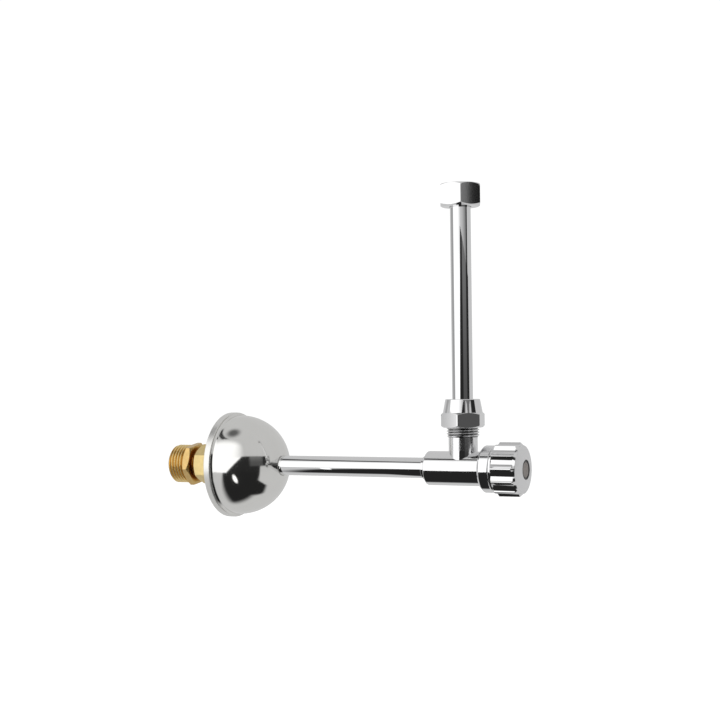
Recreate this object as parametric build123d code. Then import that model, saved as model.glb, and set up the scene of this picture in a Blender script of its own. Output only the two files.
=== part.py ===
from build123d import *
import math
import os

os.makedirs("parts", exist_ok=True)

# Frame: +X runs out of the wall along the supply tube, +Z up along the riser.
# The origin is on the supply axis, at the shoulder behind the wall thread.
# All sizes are millimetres.

# Overall layout
RISER_X = 163.0              # riser axis, out from the wall shoulder
RISER_TOP_Z = 137.0          # sealing face of the riser tube
FLANGE_WALL_X = 25.4         # open rim of the wall flange, as it hangs on the tube

# Pipe threads, drawn as plain cylinders at their major diameter
WALL_THREAD_R = 20.955 / 2   # G 1/2
TAP_THREAD_R = 16.662 / 2    # G 3/8
TAP_THREAD_MINOR_R = 14.95 / 2
THREAD_BREAK = 0.6

# Fits
THREAD_CLEARANCE = 0.03
TUBE_CLEARANCE = 0.05
SEAL_CLEARANCE = 0.05
RUNNING_CLEARANCE = 0.06
DRIVE_CLEARANCE = 0.05
SEAT_GAP = 0.05
END_GAP = 0.3

# Tube, the same for the supply tube and the riser
TUBE_R = 5.25
TUBE_WALL = 0.9

# Inlet adaptor
WALL_THREAD_LEN = 10.0
WALL_THREAD_CHAMFER = 1.2
INLET_BORE_R = 6.5
INLET_BORE_DEPTH = 9.0
INLET_HEX_AF = 21.0
INLET_HEX_LEN = 4.0
INLET_HEX_TURN = 11.7
INLET_HEX_FACE_R = 10.55     # turned circle left on each hexagon face
SPIGOT_NECK_R = 7.3
SPIGOT_NECK_LEN = 1.6
SPIGOT_END_X = 14.5
SPIGOT_SOCKET_DEPTH = 8.5
WATERWAY_R = 4.2

# Compression joints, measured from the mouth of the spigot
MOUTH_DEPTH = 2.0
CONE_ANGLE = 30.0
OLIVE_FIT = 0.1
OLIVE_FRONT = 1.6
OLIVE_FLAT_START = 0.3
OLIVE_FLAT_END = 1.5
OLIVE_BACK = 3.4
OLIVE_EDGE = 0.15
NUT_THREAD_PAST_MOUTH = 1.9
NUT_LAND = 1.6
NUT_TUBE_CLEARANCE = 0.12

# Inlet compression nut
INLET_NUT_AF = 19.0
INLET_NUT_START_X = 6.2
INLET_NUT_TURN = 31.7
INLET_NUT_LEFT_R = 8.7
INLET_NUT_RIGHT_R = 9.4

# Wall flange, pressed from sheet; depths are measured from its open rim
FLANGE_SHEET = 0.8
FLANGE_DOME_R = 26.8
FLANGE_DOME_CENTRE = 6.0
FLANGE_RIM_OVER_DOME = 1.6
FLANGE_RIM_WIDTH = 3.6
FLANGE_RIM_ROUND = 0.7
FLANGE_COVE_UNDER_DOME = 0.3
FLANGE_COVE_END = 5.4
FLANGE_COVE_SAG = 0.35
FLANGE_HOLE_CLEARANCE = 0.45

# Tap body
BODY_R = 8.7
BODY_LEFT = 19.0             # left end, back from the riser axis
BODY_EDGE = 0.6
LIP_R = 5.85
LIP_LEN = 2.6
BODY_SOCKET_DEPTH = 8.0
HEAD_START = 11.4            # shoulder behind the head, from the riser axis
HEAD_R = 11.85
HEAD_CHAMFER = 1.25
HEAD_END = 17.6
HEAD_EDGE = 0.4
NECK_R = 7.35
NECK_TOP_Z = 15.9
NECK_BORE_R = 4.0
NECK_SOCKET_Z = 18.0
CHAMBER_R = 6.5
CHAMBER_START = -6.5         # from the riser axis
SEAT_HEIGHT = 1.0
SEAT_WIDTH = 1.4

# Headwork, from the riser axis
PILOT_START = 4.2
PILOT_CLEARANCE = 0.08
HEADWORK_THREAD_R = 8.0
HEADWORK_THREAD_START = 11.6
HEADWORK_FLANGE_R = 9.5
HEADWORK_FLANGE_LEN = 2.3
HEADWORK_NOSE_AF = 14.0
HEADWORK_NOSE_END = 20.4
HEADWORK_SEAL_AT = 7.4
HEADWORK_SEAL_SECTION_R = 0.75
GUIDE_CLEARANCE = 0.05

# Spindle, from the riser axis
THRUST_AT = 13.1
SPINDLE_R = 5.0
SHANK_LEN = 5.6
SPINDLE_SCREW_R = 2.4
SPINDLE_SCREW_START = 3.5
SPINDLE_SEAL_INNER_AT = 1.7  # from the thrust face
SPINDLE_SEAL_OUTER_AT = 3.9
SPINDLE_SEAL_SECTION_R = 0.6
GROOVE_SIDE_GAP = 0.1
DRIVE_R = 3.7
DRIVE_SQUARE = 5.6
SPINDLE_END = 26.8
CLIP_THICK = 0.9
CLIP_INNER_R = 4.1
CLIP_GROOVE_DEPTH = 0.55
CLIP_MOUTH = 4.0

# Valve plunger, washer and their screw
WASHER_R = 5.2
WASHER_THICK = 2.5
WASHER_HOLE_CLEARANCE = 0.1
PLUNGER_DISC_R = 5.6
PLUNGER_DISC_THICK = 1.5
PLUNGER_HEX_AF = 7.3
PLUNGER_END = 9.0            # from the riser axis
PLUNGER_LIFT = 3.5
WASHER_SCREW_R = 1.5
WASHER_SCREW_LEN = 4.5
WASHER_SCREW_HEAD_R = 2.6
WASHER_SCREW_HEAD = 1.2
WASHER_SCREW_SLOT = 0.7

# Knob, from the riser axis
KNOB_GAP = 0.3
KNOB_R = 13.55
KNOB_RING_UNDER_RIBS = 1.25
KNOB_RING_LEN = 1.1
KNOB_RIB_START = 19.6
KNOB_RIB_END = 30.4
KNOB_FACE_UNDER_RIBS = 1.55
KNOB_FACE_AT = 32.1
KNOB_CROWN = 1.9
KNOB_FLUTES = 12
KNOB_FLUTE_DEPTH = 1.9
KNOB_LAND_ANGLE = 3.6
KNOB_FLUTE_END = 31.7
KNOB_FLUTE_CORNER = 0.6
KNOB_TURN = 11.25
KNOB_WALL = 1.05             # between a flute's floor and the hollow skirt
KNOB_SKIRT_DEPTH = 8.0
KNOB_HUB_R = 6.2
KNOB_HUB_START = 20.9
KNOB_WEB = 2.0
POCKET_R = 4.3

# Knob screw and cap
KNOB_SCREW_R = 2.0
KNOB_SCREW_LEN = 7.0
KNOB_SCREW_HOLE_CLEARANCE = 0.1
KNOB_SCREW_HEAD_R = 3.5
KNOB_SCREW_HEAD = 2.2
KNOB_SCREW_SLOT = 0.9
SLOT_DEPTH_SHARE = 0.5
CAP_RECESS_R = 5.0
CAP_CLEARANCE = 0.2
CAP_SINK = 0.35
CAP_THICK = 1.1
CAP_RING_CLEARANCE = 0.1
CAP_RING_WALL = 0.5
CAP_RING_LEN = 1.2

# Outlet compression nut
OUTLET_MOUTH_Z = 29.8
OUTLET_NUT_AF = 20.0
OUTLET_NUT_START_Z = 20.8
OUTLET_NUT_HEX_LEN = 7.5
OUTLET_NUT_BOTTOM_R = 9.9
OUTLET_NUT_TAPER_R = 10.05
OUTLET_NUT_TOP_R = 8.75
OUTLET_NUT_TURN = 9.5

# Top union
BEAD_R = 7.0
BEAD_THICK = 1.4
RING_R = 7.1
RING_THICK = 1.6
UNION_AF = 20.0
UNION_TOP_ABOVE_SEAL = 7.0
UNION_FLOOR = 1.5
UNION_BOTTOM_R = 9.2
UNION_TOP_R = 9.9
UNION_TURN = 23.9
UNION_HOLE_CLEARANCE = 0.3
UNION_RELIEF_R = 7.9
UNION_WASHER_R = 7.1
UNION_WASHER_HOLE_R = 4.6
UNION_WASHER_THICK = 1.5

# Angle of the turned chamfers on the hexagons, from the end face
HEX_CHAMFER_ANGLE = 30.0

# Places that follow from the sizes above
TUBE_BORE_R = TUBE_R - TUBE_WALL
SOCKET_R = TUBE_R + TUBE_CLEARANCE
CONE_SLOPE = math.tan(math.radians(CONE_ANGLE))
OLIVE_R = SOCKET_R + OLIVE_EDGE + (OLIVE_FRONT + OLIVE_FLAT_START) * CONE_SLOPE
NUT_HOLE_R = TUBE_R + NUT_TUBE_CLEARANCE
NUT_CONE_END = OLIVE_FLAT_END + (OLIVE_R + OLIVE_FIT - NUT_HOLE_R) / CONE_SLOPE
NUT_END = NUT_CONE_END + NUT_LAND
FLANGE_RIM_R = FLANGE_DOME_R + FLANGE_RIM_OVER_DOME
FLANGE_COVE_R = FLANGE_DOME_R - FLANGE_COVE_UNDER_DOME
LIP_X = RISER_X - BODY_LEFT - LIP_LEN
BODY_LEFT_X = RISER_X - BODY_LEFT
BODY_SOCKET_X = BODY_LEFT_X + BODY_SOCKET_DEPTH
CHAMBER_X = RISER_X + CHAMBER_START
SEAT_X = CHAMBER_X + SEAT_HEIGHT
HEAD_END_X = RISER_X + HEAD_END
HEADWORK_FLANGE_X = HEAD_END_X - HEADWORK_FLANGE_LEN
HEADWORK_THREAD_X = RISER_X + HEADWORK_THREAD_START
HEADWORK_SEAL_X = RISER_X + HEADWORK_SEAL_AT
PILOT_X = RISER_X + PILOT_START
PILOT_R = CHAMBER_R - PILOT_CLEARANCE
NOSE_END_X = RISER_X + HEADWORK_NOSE_END
THRUST_X = RISER_X + THRUST_AT
SHANK_X = THRUST_X + SEAT_GAP
SHANK_END_X = SHANK_X + SHANK_LEN
SPINDLE_BORE_R = SPINDLE_R + RUNNING_CLEARANCE
SPINDLE_SCREW_X = RISER_X + SPINDLE_SCREW_START
SPINDLE_END_X = RISER_X + SPINDLE_END
CLIP_X = SHANK_END_X + SEAT_GAP
CLIP_GROOVE_R = SPINDLE_BORE_R + CLIP_GROOVE_DEPTH
WASHER_X = SEAT_X + SEAT_GAP
PLUNGER_DISC_X = WASHER_X + WASHER_THICK
PLUNGER_STEM_X = PLUNGER_DISC_X + PLUNGER_DISC_THICK
PLUNGER_END_X = RISER_X + PLUNGER_END
PLUNGER_BORE_X = SPINDLE_SCREW_X - PLUNGER_LIFT - END_GAP
KNOB_RING_R = KNOB_R - KNOB_RING_UNDER_RIBS
KNOB_FACE_R = KNOB_R - KNOB_FACE_UNDER_RIBS
KNOB_FLUTE_FLOOR_R = KNOB_R - KNOB_FLUTE_DEPTH
KNOB_SKIRT_R = KNOB_FLUTE_FLOOR_R - KNOB_WALL
KNOB_LEFT_X = HEAD_END_X + KNOB_GAP
KNOB_RING_X = KNOB_LEFT_X + KNOB_RING_LEN
KNOB_HUB_X = RISER_X + KNOB_HUB_START
KNOB_FACE_X = RISER_X + KNOB_FACE_AT
CROWN_X = KNOB_FACE_X + KNOB_CROWN
WEB_X = SPINDLE_END_X + END_GAP
POCKET_X = WEB_X + KNOB_WEB
CAP_X = CROWN_X - CAP_SINK - CAP_THICK
BEAD_Z = RISER_TOP_Z - BEAD_THICK
RING_Z = BEAD_Z - SEAT_GAP - RING_THICK
UNION_FLOOR_Z = RING_Z - SEAT_GAP
UNION_BOTTOM_Z = UNION_FLOOR_Z - UNION_FLOOR
UNION_TOP_Z = RISER_TOP_Z + UNION_TOP_ABOVE_SEAL
UNION_WASHER_TOP_Z = RISER_TOP_Z + UNION_WASHER_THICK


def turned(*profile):
    """A solid turned about the X axis from (x, r) points; a repeated point is left out."""
    points = [point for point, after in zip(profile, profile[1:] + profile[:1]) if point != after]
    face = make_face(Polyline(*points, close=True))
    return revolve(face, Axis.X, 360)


def rod(start, end, radius):
    return turned((start, 0), (end, 0), (end, radius), (start, radius))


def sleeve(start, end, outer, inner):
    return turned((start, inner), (end, inner), (end, outer), (start, outer))


def broken_rod(start, end, radius, left, right):
    """A bar along X with a 45 degree break of its own size at each end."""
    return turned(
        (start, 0),
        (end, 0),
        (end, radius - right),
        (end - right, radius),
        (start + left, radius),
        (start, radius - left),
    )


def corner_radius(across_flats):
    return across_flats / 2 / math.cos(math.radians(30))


def hexagon(start, end, across_flats, turn):
    """A six-sided bar along X, one corner turned by degrees from +Y towards +Z."""
    section = Plane.YZ.offset(start) * RegularPolygon(corner_radius(across_flats), 6, rotation=turn)
    return extrude(section, end - start)


def square(start, end, side):
    section = Plane.YZ.offset(start) * Rectangle(side, side)
    return extrude(section, end - start)


def spanner_hexagon(start, end, across_flats, turn, left_r, right_r):
    """A hexagon with its corners turned off down to a circle on each end face."""
    corner = corner_radius(across_flats)
    slope = math.tan(math.radians(HEX_CHAMFER_ANGLE))
    left = (corner - left_r) * slope
    right = (corner - right_r) * slope
    envelope = turned(
        (start, 0),
        (end, 0),
        (end, right_r),
        (end - right, corner),
        (start + left, corner),
        (start, left_r),
    )
    return hexagon(start, end, across_flats, turn) & envelope


def upright(shape):
    """Stands a shape made along X on the riser axis, its +X end up."""
    return Pos(RISER_X, 0, 0) * Rot(0, -90, 0) * shape


def ring_seal(x, bore_r, section_r):
    """A round-section rubber ring lying inside a bore."""
    section = Pos(x, bore_r - SEAL_CLEARANCE - section_r) * Circle(section_r)
    return revolve(section, Axis.X, 360)


def seal_groove(x, bore_r, section_r, surface_r):
    """The groove such a ring lies in, cut from a surface of the given radius."""
    half = section_r + GROOVE_SIDE_GAP
    floor_r = bore_r - 2 * SEAL_CLEARANCE - 2 * section_r
    return sleeve(x - half, x + half, surface_r + 1, floor_r)


def spigot_bore(mouth, depth):
    """The tube socket of a compression spigot, with its coned mouth."""
    return turned(
        (mouth - depth, 0),
        (mouth, 0),
        (mouth, SOCKET_R + MOUTH_DEPTH * CONE_SLOPE),
        (mouth - MOUTH_DEPTH, SOCKET_R),
        (mouth - depth, SOCKET_R),
    )


def olive(mouth):
    """The soft ring that is squeezed between spigot and nut."""
    edge = SOCKET_R + OLIVE_EDGE
    return turned(
        (mouth - OLIVE_FRONT, SOCKET_R),
        (mouth + OLIVE_BACK, SOCKET_R),
        (mouth + OLIVE_BACK, edge),
        (mouth + OLIVE_FLAT_END, OLIVE_R),
        (mouth + OLIVE_FLAT_START, OLIVE_R),
        (mouth - OLIVE_FRONT, edge),
    )


def nut_bore(start, mouth):
    """The inside of a compression nut: thread, cone for the olive, and tube hole."""
    thread_r = TAP_THREAD_R + THREAD_CLEARANCE
    shoulder = mouth + NUT_THREAD_PAST_MOUTH
    cone_r = OLIVE_R + OLIVE_FIT - (NUT_THREAD_PAST_MOUTH - OLIVE_FLAT_END) * CONE_SLOPE
    return turned(
        (start, 0),
        (mouth + NUT_END, 0),
        (mouth + NUT_END, NUT_HOLE_R),
        (mouth + NUT_CONE_END, NUT_HOLE_R),
        (shoulder, cone_r),
        (shoulder, thread_r),
        (start, thread_r),
    )


def slotted(screw, head_end, head_height, head_r, slot, direction):
    """Cuts a driver slot into the head of a screw along X."""
    depth = head_height * SLOT_DEPTH_SHARE
    middle = head_end - direction * depth / 2
    return screw - Pos(middle, 0, 0) * Box(depth, 2 * head_r + 1, slot)


def inlet_adaptor():
    """Brass adaptor: wall thread, hexagon and compression spigot in one turning."""
    neck_end = INLET_HEX_LEN + SPIGOT_NECK_LEN
    wall_thread = broken_rod(-WALL_THREAD_LEN, 0, WALL_THREAD_R, WALL_THREAD_CHAMFER, 0)
    hexagon_bar = spanner_hexagon(
        0, INLET_HEX_LEN, INLET_HEX_AF, INLET_HEX_TURN, INLET_HEX_FACE_R, INLET_HEX_FACE_R
    )
    neck = rod(INLET_HEX_LEN, neck_end, SPIGOT_NECK_R)
    spigot = broken_rod(neck_end, SPIGOT_END_X, TAP_THREAD_R, THREAD_BREAK, THREAD_BREAK)
    bore = rod(-WALL_THREAD_LEN, -WALL_THREAD_LEN + INLET_BORE_DEPTH, INLET_BORE_R)
    waterway = rod(-WALL_THREAD_LEN, SPIGOT_END_X, WATERWAY_R)
    socket = spigot_bore(SPIGOT_END_X, SPIGOT_SOCKET_DEPTH)
    return wall_thread + hexagon_bar + neck + spigot - bore - waterway - socket


def inlet_nut():
    """Brass compression nut with a deep turned chamfer towards the wall."""
    blank = spanner_hexagon(
        INLET_NUT_START_X,
        SPIGOT_END_X + NUT_END,
        INLET_NUT_AF,
        INLET_NUT_TURN,
        INLET_NUT_LEFT_R,
        INLET_NUT_RIGHT_R,
    )
    return blank - nut_bore(INLET_NUT_START_X, SPIGOT_END_X)


def supply_tube():
    """Chromed tube from the inlet adaptor into the tap body."""
    socket_stop = SPIGOT_END_X - SPIGOT_SOCKET_DEPTH
    return sleeve(socket_stop + END_GAP, BODY_SOCKET_X - END_GAP, TUBE_R, TUBE_BORE_R)


def wall_flange():
    """Pressed dome: outer band, cove, small step, then part of a sphere holed for the tube."""
    centre = FLANGE_DOME_CENTRE
    hole_r = TUBE_R + FLANGE_HOLE_CLEARANCE
    inner_dome_r = FLANGE_DOME_R - FLANGE_SHEET
    inner_rim_r = FLANGE_RIM_R - FLANGE_SHEET
    inner_cove_r = FLANGE_COVE_R - FLANGE_SHEET
    inner_cove_start = FLANGE_RIM_WIDTH - FLANGE_SHEET
    inner_cove_end = FLANGE_COVE_END - FLANGE_SHEET
    round_r = FLANGE_RIM_ROUND
    shoulder_r = FLANGE_RIM_R - round_r
    near = round_r * (1 - math.sqrt(0.5))
    dome_start_r = math.sqrt(FLANGE_DOME_R**2 - (centre - FLANGE_COVE_END) ** 2)
    outer_tip = centre + math.sqrt(FLANGE_DOME_R**2 - hole_r**2)
    inner_tip = centre + math.sqrt(inner_dome_r**2 - hole_r**2)
    inner_meet = centre + math.sqrt(inner_dome_r**2 - inner_cove_r**2)
    run = FLANGE_COVE_END - FLANGE_RIM_WIDTH
    drop = shoulder_r - FLANGE_COVE_R
    chord = math.hypot(run, drop)
    cove_x = FLANGE_RIM_WIDTH + run / 2 - FLANGE_COVE_SAG * drop / chord
    cove_r = shoulder_r - drop / 2 - FLANGE_COVE_SAG * run / chord
    outer_mid = FLANGE_DOME_R * math.sqrt(0.5)
    inner_mid = inner_dome_r * math.sqrt(0.5)
    edges = [
        Line((0, inner_rim_r), (0, shoulder_r)),
        ThreePointArc((0, shoulder_r), (near, FLANGE_RIM_R - near), (round_r, FLANGE_RIM_R)),
        Line((round_r, FLANGE_RIM_R), (FLANGE_RIM_WIDTH - round_r, FLANGE_RIM_R)),
        ThreePointArc(
            (FLANGE_RIM_WIDTH - round_r, FLANGE_RIM_R),
            (FLANGE_RIM_WIDTH - near, FLANGE_RIM_R - near),
            (FLANGE_RIM_WIDTH, shoulder_r),
        ),
        ThreePointArc(
            (FLANGE_RIM_WIDTH, shoulder_r),
            (cove_x, cove_r),
            (FLANGE_COVE_END, FLANGE_COVE_R),
        ),
        Line((FLANGE_COVE_END, FLANGE_COVE_R), (FLANGE_COVE_END, dome_start_r)),
        ThreePointArc(
            (FLANGE_COVE_END, dome_start_r),
            (centre + outer_mid, outer_mid),
            (outer_tip, hole_r),
        ),
        Line((outer_tip, hole_r), (inner_tip, hole_r)),
        ThreePointArc(
            (inner_tip, hole_r),
            (centre + inner_mid, inner_mid),
            (inner_meet, inner_cove_r),
        ),
        Line((inner_meet, inner_cove_r), (inner_cove_end, inner_cove_r)),
        Line((inner_cove_end, inner_cove_r), (inner_cove_start, inner_rim_r)),
        Line((inner_cove_start, inner_rim_r), (0, inner_rim_r)),
    ]
    return Pos(FLANGE_WALL_X, 0, 0) * revolve(make_face(edges), Axis.X, 360)


def body_bores():
    """Every passage of the tap body: inlet socket, valve chamber with its seat, and outlet."""
    seat = sleeve(CHAMBER_X, SEAT_X, WATERWAY_R + SEAT_WIDTH, WATERWAY_R)
    chamber = rod(CHAMBER_X, HEADWORK_THREAD_X, CHAMBER_R) - seat
    inlet = rod(LIP_X, BODY_SOCKET_X, SOCKET_R) + rod(BODY_SOCKET_X, SEAT_X, WATERWAY_R)
    thread = rod(HEADWORK_THREAD_X, HEADWORK_FLANGE_X, HEADWORK_THREAD_R + THREAD_CLEARANCE)
    flange = rod(HEADWORK_FLANGE_X, HEAD_END_X, HEADWORK_FLANGE_R + SEAT_GAP)
    outlet = upright(rod(0, NECK_SOCKET_Z, NECK_BORE_R))
    socket = upright(spigot_bore(OUTLET_MOUTH_Z, OUTLET_MOUTH_Z - NECK_SOCKET_Z))
    return [chamber, inlet, thread, flange, outlet, socket]


def valve_body():
    """One casting: lip, barrel, wider head, and the threaded outlet neck."""
    head_x = RISER_X + HEAD_START
    shape = turned(
        (LIP_X, 0),
        (HEAD_END_X, 0),
        (HEAD_END_X, HEAD_R - HEAD_EDGE),
        (HEAD_END_X - HEAD_EDGE, HEAD_R),
        (head_x + HEAD_CHAMFER, HEAD_R),
        (head_x, HEAD_R - HEAD_CHAMFER),
        (head_x, BODY_R),
        (BODY_LEFT_X + BODY_EDGE, BODY_R),
        (BODY_LEFT_X, BODY_R - BODY_EDGE),
        (BODY_LEFT_X, LIP_R),
        (LIP_X, LIP_R),
    )
    shape += upright(rod(0, NECK_TOP_Z, NECK_R))
    shape += upright(broken_rod(NECK_TOP_Z, OUTLET_MOUTH_Z, TAP_THREAD_R, THREAD_BREAK, THREAD_BREAK))
    for bore in body_bores():
        shape -= bore
    return shape


def headwork():
    """Brass headwork: pilot, thread, flange and spanner nose, bored for plunger and spindle."""
    shape = turned(
        (PILOT_X, 0),
        (HEAD_END_X, 0),
        (HEAD_END_X, HEADWORK_FLANGE_R),
        (HEADWORK_FLANGE_X, HEADWORK_FLANGE_R),
        (HEADWORK_FLANGE_X, HEADWORK_THREAD_R),
        (HEADWORK_THREAD_X, HEADWORK_THREAD_R),
        (HEADWORK_THREAD_X, PILOT_R),
        (PILOT_X, PILOT_R),
    )
    shape += hexagon(HEAD_END_X, NOSE_END_X, HEADWORK_NOSE_AF, 0)
    shape -= seal_groove(HEADWORK_SEAL_X, CHAMBER_R, HEADWORK_SEAL_SECTION_R, PILOT_R)
    shape -= hexagon(PILOT_X, THRUST_X, PLUNGER_HEX_AF + 2 * GUIDE_CLEARANCE, 0)
    shape -= rod(THRUST_X, NOSE_END_X, SPINDLE_BORE_R)
    shape -= rod(CLIP_X - SEAT_GAP, CLIP_X + CLIP_THICK + SEAT_GAP, CLIP_GROOVE_R)
    return shape


def spindle():
    """Spindle: left-hand lifting screw, sealed shank, square drive and tapped end."""
    shape = rod(SPINDLE_SCREW_X, SHANK_X, SPINDLE_SCREW_R)
    shape += rod(SHANK_X, SHANK_END_X, SPINDLE_R)
    drive = rod(SHANK_END_X, SPINDLE_END_X, DRIVE_R)
    shape += drive & square(SHANK_END_X, SPINDLE_END_X, DRIVE_SQUARE)
    for at in (SPINDLE_SEAL_INNER_AT, SPINDLE_SEAL_OUTER_AT):
        shape -= seal_groove(THRUST_X + at, SPINDLE_BORE_R, SPINDLE_SEAL_SECTION_R, SPINDLE_R)
    hole_start = SPINDLE_END_X - KNOB_SCREW_LEN
    shape -= rod(hole_start, SPINDLE_END_X, KNOB_SCREW_R + THREAD_CLEARANCE)
    return shape


def spindle_clip():
    """Sprung retaining ring in the headwork, open at the bottom."""
    ring = sleeve(CLIP_X, CLIP_X + CLIP_THICK, CLIP_GROOVE_R - SEAT_GAP, CLIP_INNER_R)
    mouth = Pos(CLIP_X + CLIP_THICK / 2, 0, -CLIP_GROOVE_R) * Box(2, CLIP_MOUTH, CLIP_GROOVE_R * 2)
    return ring - mouth


def valve_plunger():
    """Hexagonal plunger that the spindle screw lifts off the seat."""
    shape = rod(PLUNGER_DISC_X, PLUNGER_STEM_X, PLUNGER_DISC_R)
    shape += hexagon(PLUNGER_STEM_X, PLUNGER_END_X, PLUNGER_HEX_AF, 0)
    shape -= rod(PLUNGER_BORE_X, PLUNGER_END_X, SPINDLE_SCREW_R + DRIVE_CLEARANCE)
    screw_end = WASHER_X + WASHER_SCREW_LEN
    shape -= rod(PLUNGER_DISC_X, screw_end + GROOVE_SIDE_GAP, WASHER_SCREW_R + THREAD_CLEARANCE)
    return shape


def tap_washer():
    hole_r = WASHER_SCREW_R + WASHER_HOLE_CLEARANCE
    return sleeve(WASHER_X, PLUNGER_DISC_X, WASHER_R, hole_r)


def washer_screw():
    """Small slotted screw holding the washer to the plunger."""
    shape = rod(WASHER_X - WASHER_SCREW_HEAD, WASHER_X, WASHER_SCREW_HEAD_R)
    shape += rod(WASHER_X, WASHER_X + WASHER_SCREW_LEN, WASHER_SCREW_R)
    head_end = WASHER_X - WASHER_SCREW_HEAD
    return slotted(shape, head_end, WASHER_SCREW_HEAD, WASHER_SCREW_HEAD_R, WASHER_SCREW_SLOT, -1)


def knob_blank():
    """Outside of the knob before fluting: ring, grip with a coned front edge, domed face."""
    rib_end_x = RISER_X + KNOB_RIB_END
    face_sphere_r = (KNOB_FACE_R**2 + KNOB_CROWN**2) / (2 * KNOB_CROWN)
    half_r = KNOB_FACE_R / 2
    half_x = CROWN_X - face_sphere_r + math.sqrt(face_sphere_r**2 - half_r**2)
    edges = [
        Line((KNOB_LEFT_X, 0), (CROWN_X, 0)),
        ThreePointArc((CROWN_X, 0), (half_x, half_r), (KNOB_FACE_X, KNOB_FACE_R)),
        Line((KNOB_FACE_X, KNOB_FACE_R), (rib_end_x, KNOB_R)),
        Line((rib_end_x, KNOB_R), (RISER_X + KNOB_RIB_START, KNOB_R)),
        Line((RISER_X + KNOB_RIB_START, KNOB_R), (KNOB_RING_X, KNOB_RING_R)),
        Line((KNOB_RING_X, KNOB_RING_R), (KNOB_LEFT_X, KNOB_RING_R)),
        Line((KNOB_LEFT_X, KNOB_RING_R), (KNOB_LEFT_X, 0)),
    ]
    return revolve(make_face(edges), Axis.X, 360)


def knob_flutes():
    """The scooped grooves of the grip, one cutter for each."""
    half_angle = math.radians((360 / KNOB_FLUTES - KNOB_LAND_ANGLE) / 2)
    half_width = KNOB_R * math.sin(half_angle)
    depth = KNOB_R * math.cos(half_angle) - KNOB_FLUTE_FLOOR_R
    scoop_r = (half_width**2 + depth**2) / (2 * depth)
    centre_r = KNOB_FLUTE_FLOOR_R + scoop_r
    cutter = broken_rod(KNOB_RING_X, RISER_X + KNOB_FLUTE_END, scoop_r, 0, KNOB_FLUTE_CORNER)
    cutters = []
    for index in range(KNOB_FLUTES):
        angle = math.radians(KNOB_TURN + index * 360 / KNOB_FLUTES)
        cutters.append(Pos(0, centre_r * math.cos(angle), centre_r * math.sin(angle)) * cutter)
    return cutters


def knob():
    """Fluted knob: hollow skirt, hub with a square socket, web, screw pocket and cap recess."""
    shape = knob_blank()
    for cutter in knob_flutes():
        shape -= cutter
    skirt_end_x = KNOB_LEFT_X + KNOB_SKIRT_DEPTH
    shape -= rod(KNOB_LEFT_X, KNOB_HUB_X, KNOB_SKIRT_R)
    shape -= sleeve(KNOB_HUB_X, skirt_end_x, KNOB_SKIRT_R, KNOB_HUB_R)
    socket = rod(KNOB_HUB_X, WEB_X, DRIVE_R + DRIVE_CLEARANCE)
    shape -= socket & square(KNOB_HUB_X, WEB_X, DRIVE_SQUARE + 2 * DRIVE_CLEARANCE)
    shape -= rod(WEB_X, POCKET_X, KNOB_SCREW_R + KNOB_SCREW_HOLE_CLEARANCE)
    shape -= rod(POCKET_X, CAP_X, POCKET_R)
    shape -= rod(CAP_X, CROWN_X, CAP_RECESS_R)
    return shape


def knob_screw():
    """Slotted screw that draws the knob onto the spindle."""
    head_end = POCKET_X + KNOB_SCREW_HEAD
    shape = rod(POCKET_X - KNOB_SCREW_LEN, POCKET_X, KNOB_SCREW_R)
    shape += rod(POCKET_X, head_end, KNOB_SCREW_HEAD_R)
    return slotted(shape, head_end, KNOB_SCREW_HEAD, KNOB_SCREW_HEAD_R, KNOB_SCREW_SLOT, 1)


def knob_cap():
    """Plain disc with a snap ring, closing the screw pocket."""
    ring_r = POCKET_R - CAP_RING_CLEARANCE
    disc = rod(CAP_X, CAP_X + CAP_THICK, CAP_RECESS_R - CAP_CLEARANCE)
    return disc + sleeve(CAP_X - CAP_RING_LEN, CAP_X, ring_r, ring_r - CAP_RING_WALL)


def outlet_nut():
    """Chromed compression nut: hexagon below, tapered collar above."""
    hex_end = OUTLET_NUT_START_Z + OUTLET_NUT_HEX_LEN
    end = OUTLET_MOUTH_Z + NUT_END
    blank = spanner_hexagon(
        OUTLET_NUT_START_Z,
        hex_end,
        OUTLET_NUT_AF,
        OUTLET_NUT_TURN,
        OUTLET_NUT_BOTTOM_R,
        OUTLET_NUT_TAPER_R,
    )
    blank += turned((hex_end, 0), (end, 0), (end, OUTLET_NUT_TOP_R), (hex_end, OUTLET_NUT_TAPER_R))
    return upright(blank - nut_bore(OUTLET_NUT_START_Z, OUTLET_MOUTH_Z))


def riser_tube():
    """Chromed tube up from the tap body, with a bead formed at its top."""
    tube = sleeve(NECK_SOCKET_Z + END_GAP, RISER_TOP_Z, TUBE_R, TUBE_BORE_R)
    return upright(tube + sleeve(BEAD_Z, RISER_TOP_Z, BEAD_R, TUBE_BORE_R))


def union_ring():
    """Loose brass ring under the bead, pressed up by the nut."""
    return upright(sleeve(RING_Z, RING_Z + RING_THICK, RING_R, TUBE_R + RUNNING_CLEARANCE))


def union_nut():
    """Hexagonal union nut with a thin floor that bears on the ring."""
    blank = spanner_hexagon(
        UNION_BOTTOM_Z,
        UNION_TOP_Z,
        UNION_AF,
        UNION_TURN,
        UNION_BOTTOM_R,
        UNION_TOP_R,
    )
    hole = rod(UNION_BOTTOM_Z, UNION_FLOOR_Z, TUBE_R + UNION_HOLE_CLEARANCE)
    relief = rod(UNION_FLOOR_Z, UNION_WASHER_TOP_Z, UNION_RELIEF_R)
    thread = rod(UNION_WASHER_TOP_Z, UNION_TOP_Z, TAP_THREAD_MINOR_R)
    return upright(blank - hole - relief - thread)


def union_washer():
    """Flat seal lying on the riser's bead."""
    return upright(
        sleeve(RISER_TOP_Z, UNION_WASHER_TOP_Z, UNION_WASHER_R, UNION_WASHER_HOLE_R)
    )


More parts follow.
